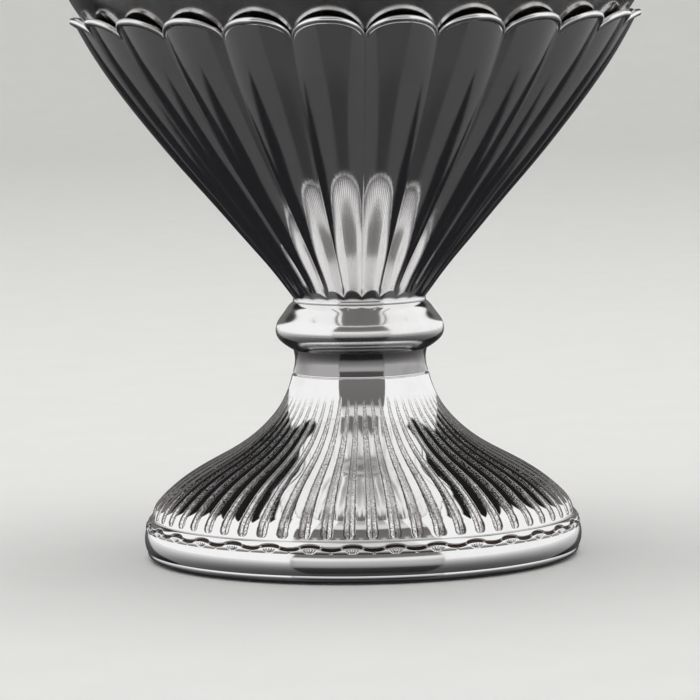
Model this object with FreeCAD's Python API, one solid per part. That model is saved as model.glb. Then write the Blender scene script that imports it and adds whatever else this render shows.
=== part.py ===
import FreeCAD, Part
import math
import os
from FreeCAD import Vector

# A covered ciborium: a silver-plated brass vessel on a bell foot, with a lobed
# calyx round a plain cup, and a lid with a cross that lifts off.
# Millimetres, +Z up, origin at the centre of the face the foot stands on,
# front towards -Y.

os.makedirs("parts", exist_ok=True)

# ----- driving dimensions -------------------------------------------------
LOBES = 24                 # lobes round the calyx, one petal over each
LOBE_DEPTH = 0.030         # groove depth as a share of the crest radius
PETAL_TIP = 140.6          # top of a petal
PETAL_DIP = 135.4          # bottom of the notch between two petals
EDGE_WIRE_R = 1.0          # half-round wire soldered along the petals' edge

WALL_FOOT = 1.0            # sheet of the foot bell
WALL_KNOP = 1.0            # sheet of the knop's half shells
WALL_CALYX = 0.8           # sheet of the calyx
WALL_CUP = 1.0             # sheet of the cup
WALL_LID = 1.0             # sheet of the lid dome

ROD_R = 4.0                # M8 tie rod
ROD_CLEAR = 0.3            # radial room round the rod
SLEEVE_R = 5.5             # tube round the rod that takes its clamping load

SKIRT_R = 55.0             # outside of the bell's straight skirt
LIP_TOP = 2.1              # top of the ring the foot stands on
FLANGE_TOP = 7.6           # top of the smooth ring round the skirt
BORDER_TOP = 10.8          # top of the chased border
CROWN_Z = 47.2             # flat top of the bell
QUIRK_TOP = 47.9           # shallow groove between bell and collar
COLLAR_TOP = 53.8          # top of the neck collar, bottom of the knop
KNOP_MID = 58.4            # where the two half shells of the knop meet
KNOP_R = 21.9
KNOP_TOP = 66.2
CAP_TOP = 67.0             # top of the thin ring on the knop, calyx stands on it

SEAT_T = 1.8               # plate in the bottom of the calyx
GASKET_T = 0.5
CUP_BASE = 73.0            # underside of the cup
RIM_Z = 166.0              # mouth of the cup
MOUTH_R = 77.0             # outside of the cup at the mouth

LID_GAP = 0.3              # room between the seated lid and the rim
LID_Z = RIM_Z + LID_GAP
BEZEL_CLEAR = 0.35         # radial room between the lid's bezel and the cup
LID_H = 45.4               # height of the lid dome
FINIAL_R = 2.5             # M5 finial screw

CROSS_H = 40.0             # Latin cross
CROSS_SPAN = 28.0
CROSS_T = 3.0
CROSS_ARM = 25.5           # height of the crossing above the cross's foot

# foot bell, outside, (radius, height)
FOOT_OUT = [(SKIRT_R, BORDER_TOP), (54.75, 12.5), (53.5, 14.6), (51.4, 16.6), (49.0, 18.7), (46.2, 20.8),
            (42.9, 22.9), (39.1, 25.0), (35.3, 27.0), (31.7, 29.1), (28.7, 31.2), (26.2, 33.3),
            (24.1, 35.4), (22.35, 37.4), (20.9, 39.5), (19.75, 41.6), (18.85, 43.7), (18.2, 45.6), (17.85, CROWN_Z)]

# calyx, outside, over the crest of a lobe
CREST = [(17.0, CAP_TOP), (18.5, 68.9), (20.35, 71.5), (22.3, 74.1), (26.7, 79.3), (31.2, 84.5), (35.6, 89.7),
         (40.1, 94.9), (44.7, 100.1), (49.1, 105.3), (53.3, 110.5), (57.4, 115.7), (61.3, 120.9),
         (65.0, 126.1), (68.3, 131.3), (70.7, 135.5), (72.9, 139.7), (73.35, 140.7)]

# cup, outside
CUP_OUT = [(8.0, CUP_BASE), (13.0, 74.2), (17.6, 77.0), (22.0, 80.6), (26.6, 84.8), (31.0, 89.2), (35.4, 93.8),
           (40.9, 100.0), (45.4, 105.3), (49.6, 110.5), (53.6, 115.7), (57.4, 120.9), (61.1, 126.1),
           (64.5, 131.3), (66.8, 134.9), (68.4, 137.3), (70.0, 139.6), (71.7, 142.0), (73.2, 144.4),
           (74.6, 147.0), (75.9, 150.5), (76.7, 155.0), (MOUTH_R, 160.0)]

# lid dome, outside, height above the lid's seat
LID_OUT = [(74.0, 3.4), (73.3, 5.8), (71.3, 8.3), (67.5, 10.9), (62.0, 13.5), (55.2, 16.3), (47.6, 19.2),
           (39.9, 22.3), (32.6, 25.6), (26.1, 29.2), (20.8, 32.9), (16.7, 36.7), (13.9, 40.2),
           (12.1, 43.4), (11.5, LID_H)]


# ----- helpers ------------------------------------------------------------
def vec(p):
    return Vector(p[0], 0.0, p[1])


def spline(points):
    c = Part.BSplineCurve()
    c.interpolate([vec(p) for p in points])
    return c.toShape()


def chain(*runs):
    """Closed face from runs of points: two points are a line, more are a smooth curve."""
    edges = []
    for r in runs:
        edges.append(Part.makeLine(vec(r[0]), vec(r[1])) if len(r) == 2 else spline(r))
    return Part.Face(Part.Wire(Part.__sortEdges__(edges)))


def turned(face):
    s = face.revolve(Vector(0, 0, 0), Vector(0, 0, 1), 360)
    if s.ShapeType != "Solid":
        s = s.Solids[0]
    if s.Volume < 0:
        s.reverse()
    return s


def ring(points):
    """Solid of revolution of a polygon of (radius, height) points."""
    return turned(Part.Face(Part.makePolygon([vec(p) for p in list(points) + [points[0]]])))


def tube(r_out, r_in, z0, z1):
    return ring([(r_in, z0), (r_out, z0), (r_out, z1), (r_in, z1)])


def rod(r, z0, z1, c=0.0):
    """Solid cylinder with a chamfer c at its lower end."""
    if c <= 0:
        return ring([(0, z0), (r, z0), (r, z1), (0, z1)])
    return ring([(0, z0), (r - c, z0), (r, z0 + c), (r, z1), (0, z1)])


def hex_nut(across, height, z0, bore):
    """Hexagon nut with both edges of its corners turned off."""
    rc = across / math.sqrt(3.0)
    pts = [Vector(rc * math.cos(math.radians(a)), rc * math.sin(math.radians(a)), z0) for a in range(30, 391, 60)]
    body = Part.Face(Part.makePolygon(pts)).extrude(Vector(0, 0, height))
    t = (rc - across / 2.0 * 0.98) * 0.55
    lim = ring([(0, z0), (across / 2.0 * 0.98, z0), (rc + 0.01, z0 + t), (rc + 0.01, z0 + height - t),
                (across / 2.0 * 0.98, z0 + height), (0, z0 + height)])
    return body.common(lim).cut(Part.makeCylinder(bore, height + 2, Vector(0, 0, z0 - 1))).Solids[0]


def inward(points, t):
    """The profile moved t to its left, square to itself.  Points run upwards and outwards."""
    out = []
    n = len(points)
    for i, (r, z) in enumerate(points):
        a = points[max(0, i - 1)]
        b = points[min(n - 1, i + 1)]
        dr, dz = b[0] - a[0], b[1] - a[1]
        m = math.hypot(dr, dz)
        out.append((r - t * dz / m, z + t * dr / m))
    return out


def radius_at(table, z):
    """Radius of a profile at height z, smooth between its points."""
    t = [(p[1], p[0]) for p in table]
    n = len(t)
    z = min(max(z, t[0][0]), t[-1][0])
    i = 0
    while i < n - 2 and z > t[i + 1][0]:
        i += 1

    def slope(k):
        a, b = max(0, k - 1), min(n - 1, k + 1)
        return (t[b][1] - t[a][1]) / (t[b][0] - t[a][0])
    z0, r0 = t[i]
    z1, r1 = t[i + 1]
    h = z1 - z0
    u = (z - z0) / h
    return ((2 * u ** 3 - 3 * u ** 2 + 1) * r0 + (u ** 3 - 2 * u ** 2 + u) * h * slope(i)
            + (-2 * u ** 3 + 3 * u ** 2) * r1 + (u ** 3 - u ** 2) * h * slope(i + 1))


def save(name, shape):
    print("%-18s %-9s solids %3d  valid %s  %9.1f mm3  z %7.2f to %7.2f" % (
        name, shape.ShapeType, len(shape.Solids), shape.isValid(), shape.Volume,
        shape.BoundBox.ZMin, shape.BoundBox.ZMax))
    shape.exportStep("parts/" + name + ".step")


# ----- foot ---------------------------------------------------------------
# rounded ring the foot stands on
save("base_ring", turned(chain(
    [(50.8, 0.0), (53.8, 0.0)],
    [(53.8, 0.0), (55.1, 0.28), (55.95, 0.85), (56.25, 1.5), (56.2, LIP_TOP)],
    [(56.2, LIP_TOP), (52.6, LIP_TOP)],
    [(52.6, LIP_TOP), (50.8, 1.2)],
    [(50.8, 1.2), (50.8, 0.0)])))

# smooth convex ring round the skirt
save("foot_flange", turned(chain(
    [(SKIRT_R, LIP_TOP), (56.3, LIP_TOP)],
    [(56.3, LIP_TOP), (56.75, 3.1), (56.97, 4.3), (56.98, 5.5), (56.85, 6.6), (56.55, FLANGE_TOP)],
    [(56.55, FLANGE_TOP), (SKIRT_R, FLANGE_TOP)],
    [(SKIRT_R, FLANGE_TOP), (SKIRT_R, LIP_TOP)])))

# chased border that ends the reeded bell
save("foot_border", turned(chain(
    [(SKIRT_R, FLANGE_TOP), (56.6, FLANGE_TOP)],
    [(56.6, FLANGE_TOP), (56.65, 8.3), (56.45, 9.1), (55.95, 9.95), (55.3, BORDER_TOP)],
    [(55.3, BORDER_TOP), (SKIRT_R, BORDER_TOP)],
    [(SKIRT_R, BORDER_TOP), (SKIRT_R, FLANGE_TOP)])))

# bell with its straight skirt below and its pierced crown above, open underneath
bell_in = inward(FOOT_OUT, WALL_FOOT)
bell_in[0] = (SKIRT_R - WALL_FOOT, BORDER_TOP)
bell_in = bell_in[:-2] + [(FOOT_OUT[-2][0] - 0.98, CROWN_Z - WALL_FOOT)]
save("foot_bell", turned(chain(
    [(SKIRT_R - WALL_FOOT, LIP_TOP), (SKIRT_R, LIP_TOP)],
    [(SKIRT_R, LIP_TOP), (SKIRT_R, BORDER_TOP)],
    FOOT_OUT,
    [FOOT_OUT[-1], (ROD_R + ROD_CLEAR, CROWN_Z)],
    [(ROD_R + ROD_CLEAR, CROWN_Z), (ROD_R + ROD_CLEAR, CROWN_Z - WALL_FOOT)],
    [(ROD_R + ROD_CLEAR, CROWN_Z - WALL_FOOT), bell_in[-1]],
    list(reversed(bell_in)),
    [bell_in[0], (SKIRT_R - WALL_FOOT, LIP_TOP)])))

# plate soldered under the crown so that the rod doesn't pull through it
PLATE_Z = CROWN_Z - WALL_FOOT - 2.0
save("crown_plate", tube(15.0, ROD_R + ROD_CLEAR, PLATE_Z, CROWN_Z - WALL_FOOT))

# ----- neck and knop ------------------------------------------------------
save("neck_ring", tube(17.1, 12.6, CROWN_Z, QUIRK_TOP))
save("neck_collar", turned(chain(
    [(15.2, QUIRK_TOP), (17.6, QUIRK_TOP)],
    [(17.6, QUIRK_TOP), (17.3, 48.9), (17.08, 50.1), (17.0, 51.3), (17.1, 52.5), (17.4, COLLAR_TOP)],
    [(17.4, COLLAR_TOP), (15.2, COLLAR_TOP)],
    [(15.2, COLLAR_TOP), (15.2, QUIRK_TOP)])))

low_out = [(17.4, COLLAR_TOP), (18.75, 54.6), (20.0, 55.5), (21.0, 56.4), (21.65, 57.4), (KNOP_R, KNOP_MID)]
low_in = [(r - WALL_KNOP * 0.95, z) for r, z in low_out if z > COLLAR_TOP + WALL_KNOP]
low_in = [(17.6, COLLAR_TOP + WALL_KNOP)] + [(r - 0.12, z) for r, z in low_in[:-1]] + [low_in[-1]]
save("knop_lower", turned(chain(
    [(SLEEVE_R + 0.1, COLLAR_TOP), low_out[0]],
    low_out,
    [low_out[-1], low_in[-1]],
    list(reversed(low_in)),
    [low_in[0], (SLEEVE_R + 0.1, COLLAR_TOP + WALL_KNOP)],
    [(SLEEVE_R + 0.1, COLLAR_TOP + WALL_KNOP), (SLEEVE_R + 0.1, COLLAR_TOP)])))

up_out = [(KNOP_R, KNOP_MID), (21.87, 59.6), (21.5, 60.9), (20.8, 62.0), (19.95, 63.1), (19.15, 64.2), (18.4, 65.3), (17.3, KNOP_TOP)]
up_in = inward(up_out[:-1], WALL_KNOP)
up_in[0] = (KNOP_R - WALL_KNOP * 0.95, KNOP_MID)
up_in = [p for p in up_in if p[1] < KNOP_TOP - WALL_KNOP - 0.25] + [(16.9, KNOP_TOP - WALL_KNOP)]
save("knop_upper", turned(chain(
    [up_in[0], up_out[0]],
    up_out,
    [up_out[-1], (SLEEVE_R + 0.1, KNOP_TOP)],
    [(SLEEVE_R + 0.1, KNOP_TOP), (SLEEVE_R + 0.1, KNOP_TOP - WALL_KNOP)],
    [(SLEEVE_R + 0.1, KNOP_TOP - WALL_KNOP), up_in[-1]],
    list(reversed(up_in)))))

save("knop_cap_ring", ring([(12.5, KNOP_TOP), (17.0, KNOP_TOP), (17.3, KNOP_TOP + 0.25), (17.3, CAP_TOP - 0.25),
                            (17.0, CAP_TOP), (12.5, CAP_TOP)]))

save("stem_sleeve", tube(SLEEVE_R, ROD_R + ROD_CLEAR, CROWN_Z, CAP_TOP))

# ----- what clamps the stem together --------------------------------------
save("tie_rod", rod(ROD_R, 31.6, CUP_BASE - 0.6, 0.6))
WASHER_Z = PLATE_Z - 1.8
save("clamp_washer", ring([(ROD_R + ROD_CLEAR, WASHER_Z), (10.4, WASHER_Z), (11.3, WASHER_Z + 0.7),
                           (11.3, PLATE_Z), (ROD_R + ROD_CLEAR, PLATE_Z)]))
SPRING_Z = WASHER_Z - 1.6
save("spring_washer", tube(7.1, ROD_R + 0.15, SPRING_Z, WASHER_Z).cut(
    Part.makeBox(6.0, 1.3, 4.0, Vector(2.5, -0.65, SPRING_Z - 1))).Solids[0])
save("lock_nut", hex_nut(13.0, 6.5, SPRING_Z - 6.5, ROD_R))

# ----- calyx --------------------------------------------------------------
HALF = math.pi / LOBES


def lobe_share(u):
    """0 on a lobe's crest and 1 in the groove, round like an arc of 32 degrees each way."""
    a = math.radians(32)
    b = math.asin(max(-1.0, min(1.0, u * math.sin(a))))
    return (1 - math.cos(b)) / (1 - math.cos(a))


def depth(z):
    fade = min(1.0, max(0.0, (z - CAP_TOP) / 4.5))
    fade = fade * fade * (3 - 2 * fade)
    return LOBE_DEPTH * radius_at(CREST, z) * fade


def calyx_point(t, v, wall):
    """t from -1 to 1 across a lobe, v from 0 at the seat to 1 on the petal's edge."""
    s = t * math.pi / 2
    phi = HALF * math.sin(s)
    top = PETAL_DIP + (PETAL_TIP - PETAL_DIP) * math.cos(s)
    z = CAP_TOP + (top - CAP_TOP) * v
    r = radius_at(CREST, z) - depth(z) * lobe_share(math.sin(s))
    if wall:
        za, zb = max(CAP_TOP, z - 0.5), min(z + 0.5, CREST[-1][1])
        m = (radius_at(CREST, zb) - radius_at(CREST, za)) / (zb - za)
        r -= wall * math.sqrt(1 + m * m)
    return Vector(r * math.cos(phi), r * math.sin(phi), z)


NT = 5
NV = 12


def patch(wall):
    s = Part.BSplineSurface()
    s.interpolate([[calyx_point(-1 + 2 * i / (NT - 1), j / (NV - 1), wall) for j in range(NV)] for i in range(NT)])
    return s


def edge_at(surf, top):
    return surf.vIso(surf.bounds()[3] if top else surf.bounds()[2]).toShape()


out_s, in_s = patch(0.0), patch(WALL_CALYX)
quarter = [out_s.toShape(), in_s.toShape(),
           Part.makeRuledSurface(edge_at(out_s, True), edge_at(in_s, True)),
           Part.makeRuledSurface(edge_at(out_s, False), edge_at(in_s, False))]
faces = []
for k in range(LOBES):
    for f in quarter:
        g = f.copy()
        g.rotate(Vector(0, 0, 0), Vector(0, 0, 1), -90 + (k + 0.5) * 360.0 / LOBES)
        faces.append(g)
shell = Part.Shell(faces)
shell.sewShape()
calyx = Part.Solid(shell if shell.ShapeType == "Shell" else shell.Shells[0])
if calyx.Volume < 0:
    calyx.reverse()
save("calyx", calyx)


# half-round wire along each petal's edge, its flat side on the sheet
def wire_section(t):
    h = 1e-3
    p = calyx_point(t, 1.0, 0.0)
    along = calyx_point(min(1, t + h), 1.0, 0.0).sub(calyx_point(max(-1, t - h), 1.0, 0.0)).normalize()
    down = calyx_point(t, 0.995, 0.0).sub(p)
    n = along.cross(down).normalize()
    if n.x < 0:
        n = n.multiply(-1)
    up = n.cross(along).normalize()
    if up.z < 0:
        up = up.multiply(-1)
    r = EDGE_WIRE_R * (0.55 + 0.45 * math.cos(t * math.pi / 2) ** 0.7)
    c = p.sub(Vector(up).multiply(r)).add(Vector(n).multiply(0.05))
    a = c.add(Vector(up).multiply(r))
    b = c.add(Vector(n).multiply(r))
    d = c.sub(Vector(up).multiply(r))
    return Part.Wire([Part.Arc(a, b, d).toShape(), Part.makeLine(d, a)])


one = Part.makeLoft([wire_section(-0.93 + 1.86 * i / 16) for i in range(17)], True, False)
if one.Volume < 0:
    one.reverse()
wires = []
for k in range(LOBES):
    g = one.copy()
    g.rotate(Vector(0, 0, 0), Vector(0, 0, 1), -90 + (k + 0.5) * 360.0 / LOBES)
    wires.append(g)
save("petal_edge_wire", Part.makeCompound(wires))

save("calyx_seat_plate", tube(15.6, ROD_R + ROD_CLEAR, CAP_TOP, CAP_TOP + SEAT_T))
save("cup_gasket", tube(9.0, ROD_R + ROD_CLEAR, CAP_TOP + SEAT_T, CAP_TOP + SEAT_T + GASKET_T))
save("cup_boss", tube(8.0, ROD_R, CAP_TOP + SEAT_T + GASKET_T, CUP_BASE))

# ----- cup ----------------------------------------------------------------
cup_in = inward(CUP_OUT, WALL_CUP)
cup_in[0] = (8.0, CUP_BASE + WALL_CUP)
cup_in[-1] = (MOUTH_R - WALL_CUP, CUP_OUT[-1][1])
save("cup", turned(chain(
    [(0.0, CUP_BASE), CUP_OUT[0]],
    CUP_OUT,
    [CUP_OUT[-1], (MOUTH_R, RIM_Z)],
    [(MOUTH_R, RIM_Z), (MOUTH_R - WALL_CUP, RIM_Z)],
    [(MOUTH_R - WALL_CUP, RIM_Z), cup_in[-1]],
    list(reversed(cup_in)),
    [cup_in[0], (0.0, CUP_BASE + WALL_CUP)],
    [(0.0, CUP_BASE + WALL_CUP), (0.0, CUP_BASE)])))

save("cup_rim", turned(chain(
    [(MOUTH_R, RIM_Z - 2.6), (77.6, RIM_Z - 2.6)],
    [(77.6, RIM_Z - 2.6), (78.4, RIM_Z - 2.1), (78.7, RIM_Z - 1.3), (78.4, RIM_Z - 0.5), (77.6, RIM_Z)],
    [(77.6, RIM_Z), (MOUTH_R, RIM_Z)],
    [(MOUTH_R, RIM_Z), (MOUTH_R, RIM_Z - 2.6)])))

# ----- lid ----------------------------------------------------------------
BEZEL_R = MOUTH_R - WALL_CUP - BEZEL_CLEAR
save("lid_bezel", turned(chain(
    [(BEZEL_R - 1.0, LID_Z - 4.6), (BEZEL_R - 0.6, LID_Z - 4.6)],
    [(BEZEL_R - 0.6, LID_Z - 4.6), (BEZEL_R - 0.1, LID_Z - 3.8), (BEZEL_R, LID_Z - 2.6), (BEZEL_R, LID_Z)],
    [(BEZEL_R, LID_Z), (BEZEL_R - 1.0, LID_Z)],
    [(BEZEL_R - 1.0, LID_Z), (BEZEL_R - 1.0, LID_Z - 4.6)])))

save("lid_flange", turned(chain(
    [(72.8, LID_Z), (78.3, LID_Z)],
    [(78.3, LID_Z), (79.0, LID_Z + 0.4), (79.1, LID_Z + 1.0), (78.5, LID_Z + 1.5), (77.6, LID_Z + 1.7)],
    [(77.6, LID_Z + 1.7), (72.8, LID_Z + 1.7)],
    [(72.8, LID_Z + 1.7), (72.8, LID_Z)])))

dome = [(r, LID_Z + h) for r, h in LID_OUT]
dome_in = inward(dome, WALL_LID)
dome_in[0] = (dome[0][0] - WALL_LID, dome[0][1])
dome_in = dome_in[:-2] + [(dome[-2][0] - 0.95, LID_Z + LID_H - WALL_LID)]
CROWN_LID = LID_Z + LID_H
save("lid_dome", turned(chain(
    [(dome_in[0][0], LID_Z + 1.7), (dome[0][0], LID_Z + 1.7)],
    [(dome[0][0], LID_Z + 1.7), dome[0]],
    dome,
    [dome[-1], (FINIAL_R + 0.2, CROWN_LID)],
    [(FINIAL_R + 0.2, CROWN_LID), (FINIAL_R + 0.2, CROWN_LID - WALL_LID)],
    [(FINIAL_R + 0.2, CROWN_LID - WALL_LID), dome_in[-1]],
    list(reversed(dome_in)),
    [dome_in[0], (dome_in[0][0], LID_Z + 1.7)])))

# chased border round the foot of the dome, like the one on the vessel's foot
save("lid_border", turned(chain(
    [(74.0, LID_Z + 1.7), (76.0, LID_Z + 1.7)],
    [(76.0, LID_Z + 1.7), (76.4, LID_Z + 2.2), (76.2, LID_Z + 3.0), (75.4, LID_Z + 3.9), (74.4, LID_Z + 4.5),
     (74.1, LID_Z + 4.7)],
    [(74.1, LID_Z + 4.7), (74.0, LID_Z + 4.7)],
    [(74.0, LID_Z + 4.7), (74.0, LID_Z + 1.7)])))

z = CROWN_LID
save("finial_collar", turned(chain(
    [(FINIAL_R + 0.2, z), (8.4, z)],
    [(8.4, z), (8.4, z + 0.7)],
    [(8.4, z + 0.7), (9.0, z + 1.0), (9.2, z + 1.5), (9.0, z + 2.0), (8.3, z + 2.4), (7.2, z + 3.3), (6.7, z + 4.8)],
    [(6.7, z + 4.8), (FINIAL_R + 0.2, z + 4.8)],
    [(FINIAL_R + 0.2, z + 4.8), (FINIAL_R + 0.2, z)])))
zk = z + 4.8
save("finial_knop", turned(chain(
    [(FINIAL_R + 0.2, zk), (6.7, zk)],
    [(6.7, zk), (8.8, zk + 0.7), (10.1, zk + 2.0), (10.5, zk + 3.4), (10.0, zk + 4.8), (8.5, zk + 6.2), (6.2, zk + 7.4)],
    [(6.2, zk + 7.4), (FINIAL_R + 0.2, zk + 7.4)],
    [(FINIAL_R + 0.2, zk + 7.4), (FINIAL_R + 0.2, zk)])))
zs = zk + 7.4
save("cross_socket", turned(chain(
    [(FINIAL_R, zs), (5.4, zs)],
    [(5.4, zs), (5.5, zs + 0.6), (4.5, zs + 1.4), (3.7, zs + 2.5), (3.55, zs + 3.8), (3.9, zs + 4.7), (4.4, zs + 5.3)],
    [(4.4, zs + 5.3), (4.4, zs + 6.2)],
    [(4.4, zs + 6.2), (0.0, zs + 6.2)],
    [(0.0, zs + 6.2), (0.0, zs + 3.6)],
    [(0.0, zs + 3.6), (FINIAL_R, zs + 3.6)],
    [(FINIAL_R, zs + 3.6), (FINIAL_R, zs)])))

# screw fixed in the socket, down through the lid to a washer and nut inside
save("finial_screw", rod(FINIAL_R, LID_Z + 35.6, zs + 3.6, 0.4))
save("finial_washer", tube(6.5, FINIAL_R + 0.2, CROWN_LID - WALL_LID - 1.0, CROWN_LID - WALL_LID))
save("finial_nut", hex_nut(8.0, 4.0, CROWN_LID - WALL_LID - 5.0, FINIAL_R))

# Latin cross with flared arms, facing -Y, with a turned boss on each face
CROSS_Z = zs + 6.2
ARM_Z = CROSS_Z + CROSS_ARM
W0, W1, POINT = 1.7, 3.9, 0.9
outline = []
for d, length in (((0, -1), CROSS_ARM), ((1, 0), CROSS_SPAN / 2), ((0, 1), CROSS_H - CROSS_ARM), ((-1, 0), CROSS_SPAN / 2)):
    nx, nz = -d[1], d[0]
    body = length - POINT
    outline.append((d[0] * W0 - nx * W0, d[1] * W0 - nz * W0))
    if d == (0, -1):
        outline.append((d[0] * length - nx * W1, d[1] * length - nz * W1))
        outline.append((d[0] * length + nx * W1, d[1] * length + nz * W1))
    else:
        outline.append((d[0] * body - nx * W1, d[1] * body - nz * W1))
        outline.append((d[0] * length, d[1] * length))
        outline.append((d[0] * body + nx * W1, d[1] * body + nz * W1))
outline.append(outline[0])
cross = Part.Face(Part.makePolygon([Vector(x, -CROSS_T / 2, ARM_Z + h) for x, h in outline])).extrude(
    Vector(0, CROSS_T, 0))
soft = [e for e in cross.Edges if abs(e.Vertexes[0].Point.y - e.Vertexes[1].Point.y) < 1e-6
        and e.BoundBox.ZMax > CROSS_Z + 0.1]
cross = cross.makeChamfer(0.55, soft)
save("cross", cross.Solids[0])
boss = [turned(chain([(0.0, 0.0), (3.6, 0.0)], [(3.6, 0.0), (3.6, 0.5)], [(3.6, 0.5), (3.0, 1.0), (1.8, 1.35), (0.0, 1.5)],
                     [(0.0, 1.5), (0.0, 0.0)])) for _ in range(2)]
boss[0].rotate(Vector(0, 0, 0), Vector(1, 0, 0), 90)
boss[0].translate(Vector(0, -CROSS_T / 2, ARM_Z))
boss[1].rotate(Vector(0, 0, 0), Vector(1, 0, 0), -90)
boss[1].translate(Vector(0, CROSS_T / 2, ARM_Z))
save("cross_boss", Part.makeCompound(boss))
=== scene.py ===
import math
import bpy
import numpy as np
from mathutils import Vector, Matrix


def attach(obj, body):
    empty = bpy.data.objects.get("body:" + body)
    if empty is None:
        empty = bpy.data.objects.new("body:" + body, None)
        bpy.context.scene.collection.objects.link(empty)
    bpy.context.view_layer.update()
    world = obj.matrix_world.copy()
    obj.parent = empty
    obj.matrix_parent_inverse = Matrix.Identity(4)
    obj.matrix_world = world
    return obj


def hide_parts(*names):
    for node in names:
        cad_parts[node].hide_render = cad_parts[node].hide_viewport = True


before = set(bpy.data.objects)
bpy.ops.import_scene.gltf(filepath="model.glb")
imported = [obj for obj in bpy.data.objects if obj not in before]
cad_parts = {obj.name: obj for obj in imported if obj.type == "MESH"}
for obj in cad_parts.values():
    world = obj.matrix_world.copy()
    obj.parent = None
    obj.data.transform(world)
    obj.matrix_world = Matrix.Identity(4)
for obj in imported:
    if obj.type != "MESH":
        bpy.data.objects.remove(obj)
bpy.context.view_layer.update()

MM = 0.001
scene = bpy.context.scene

# =====================================================================
# camera
# =====================================================================
CAM_AZ = math.radians(-2.05)
CAM_DIST, CAM_EYE = 1.0496, 0.149
CAM_ROLL = math.radians(0.96)
CAM_LENS = 208.3
AIM_Z, AIM_LEFT = 0.0533, 0.00265

cam_data = bpy.data.cameras.new("camera")
cam_data.sensor_width = 36.0
cam_data.lens = CAM_LENS
cam_data.clip_start, cam_data.clip_end = 0.05, 50.0
cam = bpy.data.objects.new("camera", cam_data)
scene.collection.objects.link(cam)
scene.camera = cam
c_loc = Vector((CAM_DIST * math.sin(CAM_AZ), -CAM_DIST * math.cos(CAM_AZ), CAM_EYE))
fwd = (Vector((0, 0, AIM_Z)) - c_loc).normalized()
right = fwd.cross(Vector((0, 0, 1))).normalized()
target = Vector((0, 0, AIM_Z)) - right * AIM_LEFT
fwd = (target - c_loc).normalized()
right = fwd.cross(Vector((0, 0, 1))).normalized()
up = right.cross(fwd).normalized()
up_r = up * math.cos(CAM_ROLL) + right * math.sin(CAM_ROLL)
right_r = right * math.cos(CAM_ROLL) - up * math.sin(CAM_ROLL)
rot = Matrix((right_r, up_r, -fwd)).transposed()
cam.matrix_world = Matrix.Translation(c_loc) @ rot.to_4x4()


# =====================================================================
# curves and meshes
# =====================================================================
def c2(points, n):
    """Natural cubic through points, n samples evenly spaced by chord length."""
    p = np.asarray(points, float)
    if len(p) == 2:
        t = np.linspace(0, 1, n)[:, None]
        return p[0] * (1 - t) + p[1] * t
    d = np.r_[0, np.cumsum(np.hypot(*(np.diff(p, axis=0).T)))]
    m = len(p)
    A = np.zeros((m, m))
    B = np.zeros((m, 2))
    A[0, 0] = A[-1, -1] = 1.0
    for i in range(1, m - 1):
        h0, h1 = d[i] - d[i - 1], d[i + 1] - d[i]
        A[i, i - 1], A[i, i], A[i, i + 1] = h0, 2 * (h0 + h1), h1
        B[i] = 6 * ((p[i + 1] - p[i]) / h1 - (p[i] - p[i - 1]) / h0)
    M = np.linalg.solve(A, B)
    t = np.linspace(0, d[-1], n)
    k = np.clip(np.searchsorted(d, t, "right") - 1, 0, m - 2)
    h = (d[k + 1] - d[k])[:, None]
    a = (d[k + 1] - t)[:, None]
    b = (t - d[k])[:, None]
    return (M[k] * a ** 3 + M[k + 1] * b ** 3) / (6 * h) + (p[k] / h - M[k] * h / 6) * a + (p[k + 1] / h - M[k + 1] * h / 6) * b


def arclen(p):
    return np.r_[0, np.cumsum(np.hypot(*(np.diff(p, axis=0).T)))]


def even(p, n):
    s = arclen(p)
    t = np.linspace(0, s[-1], n)
    return np.c_[np.interp(t, s, p[:, 0]), np.interp(t, s, p[:, 1])]


def fair(points, sigma, step=0.1):
    """The smooth curve through points with its waviness taken out over about sigma mm, ends kept."""
    p = c2(points, 600)
    n = max(8, int(arclen(p)[-1] / step) + 1)
    p = even(p, n)
    w = int(3 * sigma / step) + 1
    w = min(w, n - 2)
    x = np.arange(-w, w + 1) * step
    k = np.exp(-0.5 * (x / sigma) ** 2)
    k /= k.sum()
    out = np.zeros_like(p)
    for c in range(2):
        v = p[:, c]
        e = np.r_[2 * v[0] - v[w:0:-1], v, 2 * v[-1] - v[-2:-w - 2:-1]]
        out[:, c] = np.convolve(e, k, "valid")
    return out


def normals2(p):
    """Unit normals to the right-hand side of a (radius, height) curve that runs upwards: outwards."""
    g = np.gradient(p, axis=0)
    m = np.hypot(g[:, 0], g[:, 1])
    return np.c_[g[:, 1] / m, -g[:, 0] / m]


def round_corners(poly, r, closed=True, limit=25.0, steps=3):
    """Replaces each sharp corner of a polyline by a short arc."""
    p = np.asarray(poly, float)
    n = len(p)
    out = []
    for i in range(n):
        if not closed and i in (0, n - 1):
            out.append(p[i])
            continue
        a, b, c = p[(i - 1) % n], p[i], p[(i + 1) % n]
        u, v = a - b, c - b
        lu, lv = np.hypot(*u), np.hypot(*v)
        if lu < 1e-9 or lv < 1e-9:
            continue
        cosang = np.clip(np.dot(u, v) / (lu * lv), -1, 1)
        turn = 180 - math.degrees(math.acos(cosang))
        if turn < limit:
            out.append(b)
            continue
        d = min(r, 0.45 * lu, 0.45 * lv)
        e, f = b + u / lu * d, b + v / lv * d
        for k in range(steps + 1):
            t = k / steps
            out.append((1 - t) ** 2 * e + 2 * t * (1 - t) * b + t * t * f)
    return np.array(out)


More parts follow.
